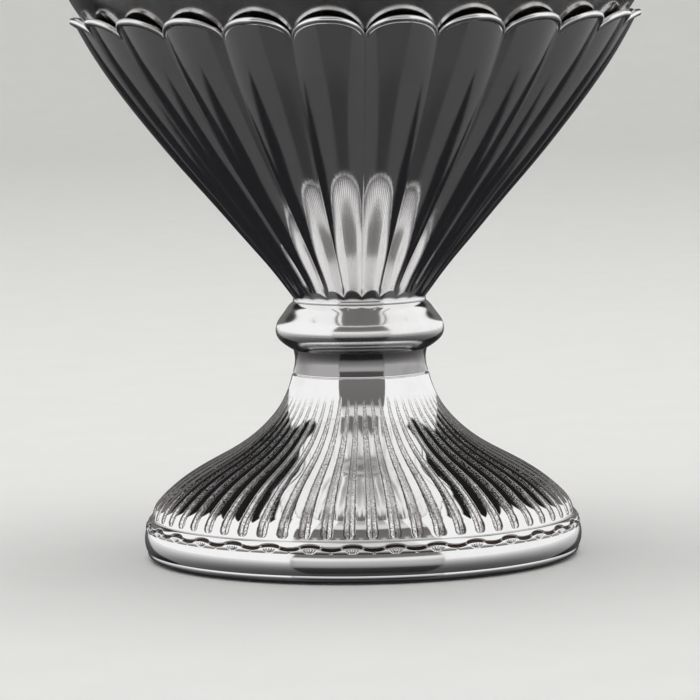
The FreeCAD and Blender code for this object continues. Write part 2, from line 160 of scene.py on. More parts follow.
def new_object(name, verts, faces, body, mats, mat_index=None, sharp=38.0, attrs=None):
    """A mesh object from arrays (metres), smooth shaded, riding on a CAD body."""
    me = bpy.data.meshes.new(name)
    verts = np.asarray(verts, np.float32)
    quads = faces[0]
    tris = faces[1] if len(faces) > 1 else np.zeros((0, 3), np.int32)
    nv, nq, nt = len(verts), len(quads), len(tris)
    me.vertices.add(nv)
    me.vertices.foreach_set("co", verts.ravel())
    me.loops.add(nq * 4 + nt * 3)
    me.polygons.add(nq + nt)
    me.loops.foreach_set("vertex_index", np.r_[np.asarray(quads, np.int32).ravel(), np.asarray(tris, np.int32).ravel()].astype(np.int32))
    starts = np.r_[np.arange(nq) * 4, nq * 4 + np.arange(nt) * 3].astype(np.int32)
    totals = np.r_[np.full(nq, 4), np.full(nt, 3)].astype(np.int32)
    me.polygons.foreach_set("loop_start", starts)
    me.polygons.foreach_set("loop_total", totals)
    if mat_index is not None:
        me.polygons.foreach_set("material_index", np.asarray(mat_index, np.int32))
    me.update(calc_edges=True)
    me.validate()
    me.shade_smooth()
    me.set_sharp_from_angle(angle=math.radians(sharp))
    for k, v in (attrs or {}).items():
        a = me.attributes.new(k, "FLOAT", "POINT")
        a.data.foreach_set("value", np.asarray(v, np.float32))
    for m in mats:
        me.materials.append(m)
    o = bpy.data.objects.new(name, me)
    scene.collection.objects.link(o)
    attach(o, body)
    return o


def grid_faces(rows, cols, wrap_cols=True, wrap_rows=False, base=0, flip=False):
    r = np.arange(rows if wrap_rows else rows - 1)
    c = np.arange(cols if wrap_cols else cols - 1)
    R, C = np.meshgrid(r, c, indexing="ij")
    R2, C2 = (R + 1) % rows, (C + 1) % cols
    q = np.stack([R * cols + C, R * cols + C2, R2 * cols + C2, R2 * cols + C], -1).reshape(-1, 4) + base
    return q[:, ::-1] if flip else q


def lathe(name, poly, body, mats, replaces=(), seg=288, edge=0.15, inner=None, closed=True, sharp=38.0):
    """Solid of revolution of a closed (radius, height) polyline in mm, going round the section
    anticlockwise seen with radius to the right: up the outside and down the inside.
    inner(r, z) true picks the second material."""
    p = np.asarray(poly, float)
    keep = np.r_[True, np.hypot(*(np.diff(p, axis=0).T)) > 1e-6]
    p = p[keep]
    if closed and np.hypot(*(p[0] - p[-1])) < 1e-6:
        p = p[:-1]
    if edge > 0:
        p = round_corners(p, edge, closed)
    ang = np.arange(seg) * 2 * math.pi / seg
    on_axis = p[:, 0] < 1e-6
    if closed:
        rows = len(p)
        v = np.stack([p[:, 0, None] * np.cos(ang), p[:, 0, None] * np.sin(ang), np.repeat(p[:, 1, None], seg, 1)], -1).reshape(-1, 3)
        q = grid_faces(rows, seg, True, True)
        tris = np.zeros((0, 3), np.int32)
        mi = None
        if inner is not None:
            mid = (p + np.roll(p, -1, axis=0)) / 2
            mi = np.repeat([1 if inner(a, b) else 0 for a, b in mid], seg)
    else:
        body_p = p[~on_axis]
        rows = len(body_p)
        v = np.stack([body_p[:, 0, None] * np.cos(ang), body_p[:, 0, None] * np.sin(ang), np.repeat(body_p[:, 1, None], seg, 1)], -1).reshape(-1, 3)
        q = grid_faces(rows, seg, True, False)
        j = np.arange(seg)
        k = (j + 1) % seg
        tl = []
        extra = []
        if on_axis[0]:
            extra.append([0, 0, p[0, 1]])
            tl.append(np.c_[np.full(seg, len(v)), k, j])
        if on_axis[-1]:
            extra.append([0, 0, p[-1, 1]])
            tl.append(np.c_[np.full(seg, len(v) + len(extra) - 1), (rows - 1) * seg + j, (rows - 1) * seg + k])
        if extra:
            v = np.r_[v, np.array(extra)]
        tris = np.concatenate(tl) if tl else np.zeros((0, 3), np.int32)
        mi = None
        if inner is not None:
            mid = (body_p[:-1] + body_p[1:]) / 2
            mi = np.repeat([1 if inner(a, b) else 0 for a, b in mid], seg)
            ends = []
            if on_axis[0]:
                ends += [1 if inner(0.0, p[0, 1]) else 0] * seg
            if on_axis[-1]:
                ends += [1 if inner(0.0, p[-1, 1]) else 0] * seg
            mi = np.r_[mi, np.array(ends, int)]
    o = new_object(name, v * MM, (q, tris), body, mats, mi, sharp=sharp)
    if replaces:
        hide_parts(*replaces)
    return o


def smoothstep(x):
    x = np.clip(x, 0, 1)
    return x * x * (3 - 2 * x)


# =====================================================================
# node graphs
# =====================================================================
class G:
    """A small shorthand for building a node tree."""

    def __init__(self, tree):
        self.t = tree
        self.n = tree.nodes
        self.l = tree.links

    def node(self, kind, **props):
        k = self.n.new(kind)
        for a, b in props.items():
            setattr(k, a, b)
        return k

    def put(self, socket, value):
        if isinstance(value, bpy.types.NodeSocket):
            self.l.new(value, socket)
        else:
            socket.default_value = value

    def math(self, op, *vals, clamp=False):
        k = self.node("ShaderNodeMath", operation=op, use_clamp=clamp)
        for i, v in enumerate(vals):
            self.put(k.inputs[i], v)
        return k.outputs[0]

    def add(self, a, b):
        return self.math("ADD", a, b)

    def sub(self, a, b):
        return self.math("SUBTRACT", a, b)

    def mul(self, a, b):
        return self.math("MULTIPLY", a, b)

    def div(self, a, b):
        return self.math("DIVIDE", a, b)

    def ramp01(self, x, a, b):
        """0 where x is a, 1 where x is b, smooth between."""
        k = self.node("ShaderNodeMapRange", interpolation_type="SMOOTHSTEP")
        self.put(k.inputs["Value"], x)
        k.inputs["From Min"].default_value = a
        k.inputs["From Max"].default_value = b
        k.inputs["To Min"].default_value = 0.0
        k.inputs["To Max"].default_value = 1.0
        return k.outputs["Result"]

    def lerp(self, f, a, b):
        k = self.node("ShaderNodeMix", data_type="FLOAT")
        self.put(k.inputs[0], f)
        self.put(k.inputs[2], a)
        self.put(k.inputs[3], b)
        return k.outputs[0]

    def mix(self, f, a, b, mode="MIX"):
        k = self.node("ShaderNodeMix", data_type="RGBA", blend_type=mode)
        self.put(k.inputs[0], f)
        self.put(k.inputs[6], a)
        self.put(k.inputs[7], b)
        return k.outputs[2]

    def noise(self, vec, scale, detail=2.0, rough=0.5, distort=0.0):
        k = self.node("ShaderNodeTexNoise")
        self.put(k.inputs["Vector"], vec)
        k.inputs["Scale"].default_value = scale
        k.inputs["Detail"].default_value = detail
        k.inputs["Roughness"].default_value = rough
        k.inputs["Distortion"].default_value = distort
        return k.outputs[0]

    def voronoi(self, vec, scale, feature="F1", rand=1.0):
        k = self.node("ShaderNodeTexVoronoi", feature=feature)
        self.put(k.inputs["Vector"], vec)
        k.inputs["Scale"].default_value = scale
        k.inputs["Randomness"].default_value = rand
        return k.outputs["Distance"]

    def stretch(self, vec, sx, sy, sz):
        k = self.node("ShaderNodeMapping")
        self.put(k.inputs["Vector"], vec)
        k.inputs["Scale"].default_value = (sx, sy, sz)
        return k.outputs["Vector"]

    def attr(self, name):
        k = self.node("ShaderNodeAttribute", attribute_name=name)
        return k.outputs["Fac"]

    def bump(self, height, strength, distance, normal=None):
        k = self.node("ShaderNodeBump")
        self.put(k.inputs["Height"], height)
        self.put(k.inputs["Strength"], strength)
        k.inputs["Distance"].default_value = distance
        if normal is not None:
            self.put(k.inputs["Normal"], normal)
        return k.outputs["Normal"]


def material(name):
    m = bpy.data.materials.new(name)
    m.use_nodes = True
    m.node_tree.nodes.clear()
    g = G(m.node_tree)
    out = g.node("ShaderNodeOutputMaterial")
    bsdf = g.node("ShaderNodeBsdfPrincipled")
    g.l.new(bsdf.outputs[0], out.inputs["Surface"])
    pos = g.node("ShaderNodeTexCoord").outputs["Object"]
    return m, g, bsdf, pos


def cylinder_coords(g, pos):
    """(angle, radius, height) sockets about the vertical axis."""
    s = g.node("ShaderNodeSeparateXYZ")
    g.put(s.inputs[0], pos)
    ang = g.math("ARCTAN2", s.outputs[0], g.mul(s.outputs[1], -1.0))
    rad = g.math("SQRT", g.add(g.mul(s.outputs[0], s.outputs[0]), g.mul(s.outputs[1], s.outputs[1])))
    return ang, rad, s.outputs[2]


def metal(name, tint, dark, rough=(0.04, 0.10), tarnish=0.18, scratch=0.25, scratch_scale=900.0, turn=True):
    """Polished plated metal: turning lines and wipe marks in the finish, a faint film where cloths don't reach."""
    m, g, b, pos = material(name)
    ang, rad, z = cylinder_coords(g, pos)
    c = g.node("ShaderNodeCombineXYZ")
    g.put(c.inputs[0], g.mul(ang, 0.02))
    g.put(c.inputs[1], g.mul(rad, 1.0))
    g.put(c.inputs[2], z)
    cloud = g.noise(pos, 55.0, 4.0, 0.6)
    fine = g.noise(g.stretch(c.outputs[0], 60.0, 3000.0, 3000.0), 1.0, 2.0, 0.6)
    wipe = g.noise(g.stretch(pos, 260.0, 900.0, 420.0), 1.0, 3.0, 0.65, 1.5)
    film = g.mul(g.ramp01(cloud, 0.46, 0.72), tarnish)
    g.put(b.inputs["Base Color"], g.mix(film, (*tint, 1), (*dark, 1)))
    b.inputs["Metallic"].default_value = 1.0
    r = g.lerp(g.ramp01(cloud, 0.35, 0.7), rough[0], rough[1])
    r = g.add(r, g.mul(g.ramp01(wipe, 0.5, 0.75), 0.02))
    g.put(b.inputs["Roughness"], r)
    h = g.add(g.mul(fine, 0.6), g.mul(wipe, 0.8)) if turn else wipe
    g.put(b.inputs["Normal"], g.bump(h, scratch, 0.000012))
    return m


silver = metal("silver_polished", (0.95, 0.945, 0.945), (0.66, 0.62, 0.58))


def reeded_material(name, tint=(0.95, 0.945, 0.945), dark=(0.115, 0.085, 0.075), pit_scale=2300.0):
    """Polished ridges, and channels between them edged with a cut line and stippled with a punch.
    across is 0 along a channel's middle, 1 on its edge and 2 along the ridge; amount fades the work out."""
    m, g, b, pos = material(name)
    across = g.attr("across")
    amount = g.attr("amount")
    low = g.attr("low")
    painted_shade = g.attr("painted_shade")
    cloud = g.noise(pos, 60.0, 4.0, 0.6)
    inside = g.mul(amount, g.ramp01(across, 0.92, 0.78))
    pit = g.voronoi(pos, pit_scale, rand=0.8)
    dots = g.ramp01(pit, 0.46, 0.24)
    pit2 = g.noise(pos, 1900.0, 3.0, 0.7)
    worn = g.ramp01(g.noise(pos, 330.0, 3.0, 0.6), 0.30, 0.62)
    wob = g.mul(g.sub(g.noise(pos, 900.0, 2.0, 0.5), 0.5), 0.34)
    aw = g.add(across, wob)
    edge = g.mul(g.ramp01(g.math("ABSOLUTE", g.sub(aw, 0.96)), 0.25, 0.08), amount)
    mid = g.mul(g.mul(g.ramp01(g.math("ABSOLUTE", aw), 0.24, 0.06), amount), g.lerp(low, 0.35, 1.0))
    cut = g.math("MAXIMUM", edge, mid)
    broken = g.ramp01(g.noise(pos, 1500.0, 3.0, 0.7), 0.30, 0.52)
    cut = g.mul(cut, g.lerp(low, g.mul(broken, 0.9), 1.0))
    # channel_dark darkens the base colour along the cut lines and on the punched dots inside the channels, more so
    # near each channel's lower end
    channel_dark = g.math("MAXIMUM", g.mul(cut, 0.92), g.mul(g.mul(inside, g.lerp(low, 0.62, 0.80)), g.mul(g.math("MAXIMUM", dots, g.ramp01(pit2, 0.49, 0.68)), g.lerp(worn, 0.2, 1.0))))
    film = g.math("MAXIMUM", g.mul(g.ramp01(cloud, 0.46, 0.72), 0.10), channel_dark)
    col = g.mix(film, (*tint, 1), (*dark, 1))
    # painted_shade mixes the base colour towards brown-black: painted shade, set only on the chased border
    g.put(b.inputs["Base Color"], g.mix(painted_shade, col, (0.075, 0.052, 0.042, 1)))
    b.inputs["Metallic"].default_value = 1.0
    g.put(b.inputs["Roughness"], g.lerp(inside, g.lerp(g.ramp01(cloud, 0.35, 0.7), 0.04, 0.09), 0.15))
    wipe = g.noise(g.stretch(pos, 260.0, 900.0, 420.0), 1.0, 3.0, 0.65, 1.5)
    n1 = g.bump(wipe, 0.2, 0.000012)
    n2 = g.bump(g.sub(1.0, cut), 0.8, 0.00005, n1)
    punched = g.sub(g.sub(1.0, g.mul(dots, inside)), g.mul(g.mul(pit2, inside), 0.6))
    g.put(b.inputs["Normal"], g.bump(punched, 0.75, 0.00006, n2))
    return m


reeded = reeded_material("silver_reeded")


def satin_material(name):
    """Spun silver left satin: fine rings from the lathe, a mottled film, soft reflections."""
    m, g, b, pos = material(name)
    ang, rad, z = cylinder_coords(g, pos)
    c = g.node("ShaderNodeCombineXYZ")
    g.put(c.inputs[0], g.mul(ang, 0.05))
    g.put(c.inputs[2], z)
    ring = g.noise(g.stretch(c.outputs[0], 12.0, 1.0, 5200.0), 1.0, 3.0, 0.6)
    cloud = g.noise(pos, 130.0, 5.0, 0.65, 0.6)
    speck = g.noise(pos, 1500.0, 3.0, 0.6)
    film = g.add(g.mul(g.ramp01(cloud, 0.38, 0.72), 0.45), g.mul(g.ramp01(speck, 0.55, 0.8), 0.3))
    g.put(b.inputs["Base Color"], g.mix(film, (0.70, 0.69, 0.68, 1), (0.26, 0.235, 0.22, 1)))
    b.inputs["Metallic"].default_value = 1.0
    g.put(b.inputs["Roughness"], g.lerp(g.ramp01(speck, 0.3, 0.8), 0.13, 0.24))
    g.put(b.inputs["Normal"], g.bump(g.add(g.mul(ring, 0.7), g.mul(speck, 0.5)), 0.4, 0.00003))
    return m


satin = satin_material("silver_satin")
# the collar's silver is a darkened copy of the polished silver: painted shade for its dim reflections; the heavier
# cloud film on it is tarnish
neck_tarnish_and_painted_shade = metal("silver_neck_tarnish_and_painted_shade", (0.40, 0.39, 0.395), (0.13, 0.105, 0.095), rough=(0.06, 0.13), tarnish=0.45, scratch=0.35)
bead_silver = metal("silver_bead", (0.96, 0.955, 0.955), (0.62, 0.57, 0.53), rough=(0.20, 0.30))
knop_silver = metal("silver_knop", (0.95, 0.945, 0.945), (0.66, 0.62, 0.58), rough=(0.11, 0.16))
gilt = metal("gilt", (0.93, 0.72, 0.36), (0.70, 0.46, 0.20), rough=(0.10, 0.20), tarnish=0.35, scratch=0.4)
brass = metal("brass_plain", (0.78, 0.62, 0.34), (0.42, 0.30, 0.15), rough=(0.22, 0.40), tarnish=0.7, scratch=0.6)


def zinc_material(name):
    """Bright zinc plate on steel with a faint crystalline spangle."""
    m, g, b, pos = material(name)
    cell = g.voronoi(pos, 700.0)
    cloud = g.noise(pos, 300.0, 4.0, 0.6)
    f = g.add(g.mul(cell, 0.5), g.mul(g.ramp01(cloud, 0.35, 0.7), 0.5))
    g.put(b.inputs["Base Color"], g.mix(f, (0.66, 0.68, 0.70, 1), (0.46, 0.47, 0.49, 1)))
    b.inputs["Metallic"].default_value = 1.0
    g.put(b.inputs["Roughness"], g.lerp(f, 0.24, 0.42))
    fine = g.noise(g.stretch(pos, 200.0, 200.0, 6000.0), 1.0, 2.0, 0.6)
    g.put(b.inputs["Normal"], g.bump(fine, 0.5, 0.00002))
    return m


def fibre_material(name):
    """Red vulcanised fibre: a flecked matt sheet."""
    m, g, b, pos = material(name)
    fleck = g.noise(g.stretch(pos, 900.0, 2600.0, 900.0), 1.0, 4.0, 0.7)
    cloud = g.noise(pos, 240.0, 3.0, 0.6)
    f = g.add(g.mul(g.ramp01(fleck, 0.4, 0.7), 0.6), g.mul(cloud, 0.3))
    g.put(b.inputs["Base Color"], g.mix(f, (0.30, 0.055, 0.035, 1), (0.16, 0.03, 0.022, 1)))
    g.put(b.inputs["Roughness"], g.lerp(cloud, 0.55, 0.8))
    g.put(b.inputs["Normal"], g.bump(fleck, 0.5, 0.00005))
    return m


zinc = zinc_material("steel_zinc")
fibre = fibre_material("fibre_washer")

# =====================================================================
# the vessel's profiles, mm
# =====================================================================
LOBES = 24
LOBE_DEPTH = 0.030
PETAL_TIP, PETAL_DIP = 140.6, 135.4
EDGE_WIRE_R = 1.0
CAP_TOP = 67.0
LID_Z = 166.3

FOOT_OUT = [(55.0, 10.8), (54.75, 12.5), (53.5, 14.6), (51.4, 16.6), (49.0, 18.7), (46.2, 20.8),
            (42.9, 22.9), (39.1, 25.0), (35.3, 27.0), (31.7, 29.1), (28.7, 31.2), (26.2, 33.3),
            (24.1, 35.4), (22.35, 37.4), (20.9, 39.5), (19.75, 41.6), (18.85, 43.7), (18.2, 45.6), (17.85, 47.2)]
CREST = [(17.0, 67.0), (18.5, 68.9), (20.35, 71.5), (22.3, 74.1), (26.7, 79.3), (31.2, 84.5), (35.6, 89.7),
         (40.1, 94.9), (44.7, 100.1), (49.1, 105.3), (53.3, 110.5), (57.4, 115.7), (61.3, 120.9),
         (65.0, 126.1), (68.3, 131.3), (70.7, 135.5), (72.9, 139.7), (73.35, 140.7)]
CUP_OUT = [(8.0, 73.0), (13.0, 74.2), (17.6, 77.0), (22.0, 80.6), (26.6, 84.8), (31.0, 89.2), (35.4, 93.8),
           (40.9, 100.0), (45.4, 105.3), (49.6, 110.5), (53.6, 115.7), (57.4, 120.9), (61.1, 126.1),
           (64.5, 131.3), (66.8, 134.9), (68.4, 137.3), (70.0, 139.6), (71.7, 142.0), (73.2, 144.4),
           (74.6, 147.0), (75.9, 150.5), (76.7, 155.0), (77.0, 160.0)]
LID_OUT = [(74.0, 3.4), (73.3, 5.8), (71.3, 8.3), (67.5, 10.9), (62.0, 13.5), (55.2, 16.3), (47.6, 19.2),
           (39.9, 22.3), (32.6, 25.6), (26.1, 29.2), (20.8, 32.9), (16.7, 36.7), (13.9, 40.2), (12.1, 43.4), (11.5, 45.4)]


def at(points, dz=0.0):
    return [(r, z + dz) for r, z in points]


def shell(outer, wall):
    """Closed section: up the outer curve and back down its inner side."""
    n = normals2(outer)
    inner = outer - n * wall
    return np.r_[outer, inner[::-1]]


# ---------------------------------------------------------------------
# fluted bells: channels cut in a surface of revolution
# ---------------------------------------------------------------------
def fluted(name, profile, wall, n_chan, phase_deg, half_width, depth, start_s, end_s, body, replaces,
           round_start=True, nc=11, nr=9, step=0.22, fine_until=3.0, fine_step=0.09,
           crown=(), skirt=()):
    """profile is the outer (r, z) curve in mm; half_width and depth are functions of arc length."""
    s_all = arclen(profile)
    L = s_all[-1]
    s = np.r_[np.arange(0, fine_until, fine_step), np.linspace(fine_until, L, int((L - fine_until) / step) + 1)]
    P = np.c_[np.interp(s, s_all, profile[:, 0]), np.interp(s, s_all, profile[:, 1])]
    N = normals2(P)
    c = np.sin(np.linspace(-1, 1, nc) * math.pi / 2)
    e = (np.arange(nr) + 1) / (nr + 1)
    W = half_width(s)
    if round_start:
        d = np.clip((s - start_s) / np.maximum(W, 1e-6), 0, 1)
        W = np.where(s < start_s, 0.0, W * np.sqrt(np.clip(1 - (1 - d) ** 2, 0, 1)))
    fade = smoothstep((end_s - s) / max(1.0, 0.18 * (end_s - start_s))) * (s >= start_s)
    D = depth(s) * fade
    wfloor = 0.10
    We = np.maximum(W, wfloor)
    D = D * np.clip(W / wfloor / 2.5, 0, 1)
    period = 2 * math.pi / n_chan
    cols, mask, cx = [], [], []
    ang0 = math.radians(phase_deg)
    R = P[:, 0]
    for k in range(n_chan):
        a0 = ang0 + k * period
        for j in range(nc):
            cols.append((a0 + c[j] * We / R, 1.0 - c[j] ** 2, abs(c[j]), 0.0))
        for j in range(nr):
            cols.append((a0 + We / R + e[j] * (period - 2 * We / R), 0.0, 2.0 - 2 * abs(e[j] - 0.5), (2 * e[j] - 1) ** 2))
    A = np.stack([q[0] for q in cols], 1)
    U = np.array([q[1] for q in cols])
    CX = np.array([q[2] for q in cols])
    E = np.array([q[3] for q in cols])
    is_ridge = np.array([1.0 if q[2] > 1.0 else 0.0 for q in cols])
    ridge_drop = 0.07 * np.clip(D / 0.35, 0, 1) ** 2
    dep = D[:, None] * (U[None, :] ** 0.72) + ridge_drop[:, None] * np.where(is_ridge[None, :] > 0, E[None, :], 1.0)
    rr = R[:, None] - dep * N[:, 0, None]
    zz = P[:, 1, None] - dep * N[:, 1, None]
    out = np.stack([rr * np.sin(A), -rr * np.cos(A), zz], -1)
    seen = smoothstep((end_s - s) / max(1.0, 0.10 * (end_s - start_s))) * np.clip((s - start_s) / 0.25, 0, 1)
    amount = np.repeat(seen[:, None], A.shape[1], 1)
    low = np.repeat((1 - smoothstep((s - start_s - 2.5) / 9.0))[:, None], A.shape[1], 1)
    cols_n = A.shape[1]
    # flat crown, inner side, then the plain skirt at the foot of the bell
    inner_p = P - N * wall
    ii = np.linspace(len(P) - 1, 0, 70).astype(int)
    ii = ii[(inner_p[ii, 1] < crown[-1][1] - 0.3) & (inner_p[ii, 1] > P[0, 1] + 0.3)]
    Pi = np.r_[np.array(crown, float), inner_p[ii], np.array(skirt, float)]
    Ai = A[np.r_[np.full(len(crown), len(P) - 1), ii, np.zeros(len(skirt), int)].astype(int)]
    rows_in = len(Pi)
    inn = np.stack([Pi[:, 0, None] * np.sin(Ai), -Pi[:, 0, None] * np.cos(Ai), np.repeat(Pi[:, 1, None], cols_n, 1)], -1)
    v = np.r_[out.reshape(-1, 3), inn.reshape(-1, 3)]
    rows = len(P) + rows_in
    q = grid_faces(rows, cols_n, True, True)
    pad = np.zeros(inn.shape[0] * cols_n)
    att = {"across": np.r_[np.repeat(CX[None, :], len(P), 0).ravel(), pad + 2.0],
           "amount": np.r_[amount.ravel(), pad], "low": np.r_[low.ravel(), pad], "painted_shade": np.r_[np.zeros(A.size), pad]}
    o = new_object(name, v * MM, (q,), body, [reeded], sharp=40.0, attrs=att)
    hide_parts(*replaces)
    return o


foot_curve = fair(FOOT_OUT, 1.5)
foot_s = arclen(foot_curve)


def by_height(pairs, curve):
    """A function of arc length from (height, value) pairs on a rising curve."""
    s = arclen(curve)
    z = [p[0] for p in pairs]
    w = [p[1] for p in pairs]
    return lambda q: np.interp(np.interp(q, s, curve[:, 1]), z, w)


s_top = float(np.interp(43.6, foot_curve[:, 1], foot_s))
fluted("bell_reeded", foot_curve, 1.0, 60, 0.35,
       by_height([(10.8, 1.34), (14.0, 1.32), (17.0, 1.24), (20.0, 1.14), (25.0, 0.92), (30.0, 0.72), (34.0, 0.58), (38.0, 0.42), (41.0, 0.28), (43.6, 0.15)], foot_curve),
       by_height([(10.8, 0.40), (14.0, 0.40), (17.0, 0.30), (20.0, 0.20), (24.0, 0.11), (28.0, 0.055), (33.0, 0.03), (38.0, 0.015), (43.6, 0.005)], foot_curve),
       0.28, s_top, "vessel", ["foot_bell"],
       crown=[(17.6, 47.2), (4.3, 47.2), (4.3, 46.2), (17.0, 46.2)], skirt=[(54.0, 10.8), (54.0, 2.1), (55.0, 2.1)])

# ---------------------------------------------------------------------
# foot: lip, flange, chased border
# ---------------------------------------------------------------------
lip = fair([(53.8, 0.0), (55.1, 0.28), (55.95, 0.85), (56.25, 1.5), (56.2, 2.1)], 0.2, 0.05)
lathe("foot_lip", np.r_[[(50.8, 0.0)], lip, [(52.6, 2.1), (50.8, 1.2)]], "vessel", [silver], ["base_ring"],
      seg=360, edge=0.12)
flange = fair([(56.3, 2.1), (56.75, 3.1), (56.97, 4.3), (56.98, 5.5), (56.85, 6.6), (56.55, 7.6)], 0.5, 0.05)
lathe("foot_band", np.r_[flange, [(55.0, 7.6), (55.0, 2.1)]], "vessel", [silver], ["foot_flange"],
      seg=480, edge=0.1)


def chased_border():
    """A ring whose face carries a run of scrolled arcs, cup and cap in turn, with a leaf under each cap."""
    periods, per_cols = 33, 96
    prof = even(c2([(56.6, 7.6), (56.65, 8.3), (56.45, 9.1), (55.95, 9.95), (55.3, 10.8)], 200), 52)
    n = normals2(prof)
    s = arclen(prof)
    cols = periods * per_cols
    a = np.arange(cols) * 2 * math.pi / cols
    x = a * 56.6
    P = 2 * math.pi * 56.6 / periods
    a_cup = math.radians(0.65)
    u = ((a - a_cup) * 56.6 / P) % 1.0
    rng = np.random.default_rng(7)
    jit = rng.normal(0, 0.05, periods)
    k = np.floor((a - a_cup) * 56.6 / P).astype(int) % periods
    lower = 0.5 - 0.5 * np.cos(2 * math.pi * u)
    cap = np.clip(1 - np.abs(u - 0.5) / 0.25, 0, 1)
    cup = np.clip(1 - np.minimum(u, 1 - u) / 0.25, 0, 1)
    wave = np.where(np.abs(u - 0.5) < 0.25, np.sqrt(np.clip(1 - (1 - cap) ** 2, 0, 1)), -np.sqrt(np.clip(1 - (1 - cup) ** 2, 0, 1)))
    wave = 0.5 * wave + 0.5 * (2 * lower - 1)
    s_mid = 1.62 + 0.52 * wave + jit[k] * 0.6
    S = s[:, None]
    w = 0.50 + 0.10 * np.abs(wave)
    groove = np.exp(-((S - s_mid[None, :]) / (w[None, :] * 0.72)) ** 4)
    brk = np.minimum(np.abs(u - 0.25), np.abs(u - 0.75)) * P
    groove *= 1 - 0.7 * np.exp(-(brk / 0.28) ** 2)[None, :]
    d = 0.85 * groove
    lip_groove = np.exp(-((S - (s[-1] - 0.28)) / 0.16) ** 2) * 0.18
    d = d + lip_groove
    du = (u - 0.5) * P
    for off, tilt, ln, dp in ((0.0, 0.0, 0.62, 0.22), (-0.62, -0.45, 0.55, 0.20), (0.62, 0.45, 0.55, 0.20),
                              (-1.2, -0.9, 0.42, 0.17), (1.2, 0.9, 0.42, 0.17)):
        sc = 0.62
        dx = du[None, :] - off - tilt * (S - sc) * 0.9
        dy = (S - sc) / ln
        stroke = np.exp(-(dx / 0.17) ** 2) * np.exp(-(dy) ** 4)
        d = d + dp * stroke
    dc = np.minimum(u, 1 - u) * P
    for off in (0.0,):
        dx = dc[None, :] - off
        d = d + 0.16 * np.exp(-(dx / 0.3) ** 2) * np.exp(-((S - 0.28) / 0.2) ** 2)
    R = prof[:, 0, None] - d * n[:, 0, None]
    Z = prof[:, 1, None] - d * n[:, 1, None]
    out = np.stack([R * np.sin(a), -R * np.cos(a), Z], -1)
    back = np.array([(55.0, 10.8), (55.0, 7.6)])
    inn = np.stack([back[:, 0, None] * np.sin(a), -back[:, 0, None] * np.cos(a), np.repeat(back[:, 1, None], cols, 1)], -1)
    v = np.r_[out.reshape(-1, 3), inn.reshape(-1, 3)]
    q = grid_faces(len(prof) + 2, cols, True, True)
    # painted shadow: the wavy cut groove is darkened in the base colour
    painted_shade = np.r_[np.clip(groove * 1.15 - 0.05, 0, 1).ravel(), np.zeros(2 * cols)]
    # painted shade in the recesses: the leaf strokes, the cusp dents and the groove under the lip are darkened too,
    # at three quarters strength
    film = np.r_[np.clip((d - 0.85 * groove) * 2.2, 0, 0.7).ravel(), np.zeros(2 * cols)]
    o = new_object("border_chased", v * MM, (q,), "vessel", [reeded], sharp=50.0, attrs={"across": film * 0.0 + 2.0, "amount": film * 0.0, "low": film * 0.0, "painted_shade": np.maximum(painted_shade, film * 0.75)})
    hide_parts("foot_border")
    return o


chased_border()

# ---------------------------------------------------------------------
# neck and knop
# ---------------------------------------------------------------------
lathe("neck_fillet", [(12.6, 47.2), (17.1, 47.2), (17.1, 47.9), (12.6, 47.9)], "vessel", [silver], ["neck_ring"],
      seg=240, edge=0.12)
collar = fair([(17.6, 47.9), (17.3, 48.9), (17.08, 50.1), (17.0, 51.3), (17.1, 52.5), (17.4, 53.8)], 0.6, 0.05)
lathe("neck_band", np.r_[collar, [(15.2, 53.8), (15.2, 47.9)]], "vessel", [neck_tarnish_and_painted_shade], ["neck_collar"],
      seg=300, edge=0.18)
kn = fair([(17.4, 53.8), (18.75, 54.6), (20.0, 55.5), (21.0, 56.4), (21.65, 57.4), (21.9, 58.4), (21.87, 59.6), (21.5, 60.9),
           (20.8, 62.0), (19.95, 63.1), (19.15, 64.2), (18.4, 65.3), (17.3, 66.2)], 0.5, 0.05)
i_mid = int(np.argmin(np.abs(kn[:, 1] - 58.4)))
kn[i_mid, 1] = 58.4
lo_half, up_half = kn[:i_mid + 1], kn[i_mid:]


def half_knop(name, curve, node):
    lathe(name, shell(curve, 1.0), "vessel", [knop_silver], [node], seg=360, edge=0.04)


half_knop("knop_under", lo_half, "knop_lower")
half_knop("knop_over", up_half, "knop_upper")
lathe("knop_cap", [(12.5, 66.2), (17.3, 66.2), (17.3, 67.0), (12.5, 67.0)], "vessel", [silver], ["knop_cap_ring"],
      seg=240, edge=0.12)

# ---------------------------------------------------------------------
# calyx: lobed sheet with a scalloped top
# ---------------------------------------------------------------------
crest_curve = fair(CREST, 3.0)
_zz = crest_curve[:, 1]
_rr = crest_curve[:, 0]


def crest_r(z):
    return np.interp(z, _zz, _rr)


def crest_slope(z):
    return (crest_r(z + 0.25) - crest_r(z - 0.25)) / 0.5


SIN32 = math.sin(math.radians(32.0))


def lobe_share(u, eps=0.02):
    w = 1 - np.abs(u)
    w = np.sqrt(w * w + eps * eps) - eps
    w = w / (math.sqrt(1 + eps * eps) - eps)
    q = np.clip(1 - w, 0, 1)
    return (1 - np.cos(np.arcsin(q * SIN32))) / (1 - math.cos(math.radians(32.0)))


def lobe_point(t, z, lift=0.0):
    """Outer face of the calyx at t across the lobe and height z, lifted along the sheet's normal."""
    s = t * math.pi / 2
    phi = (math.pi / LOBES) * np.sin(s)
    R = crest_r(z)
    r = R - LOBE_DEPTH * R * smoothstep((z - CAP_TOP) / 4.5) * lobe_share(np.sin(s))
    return phi, r


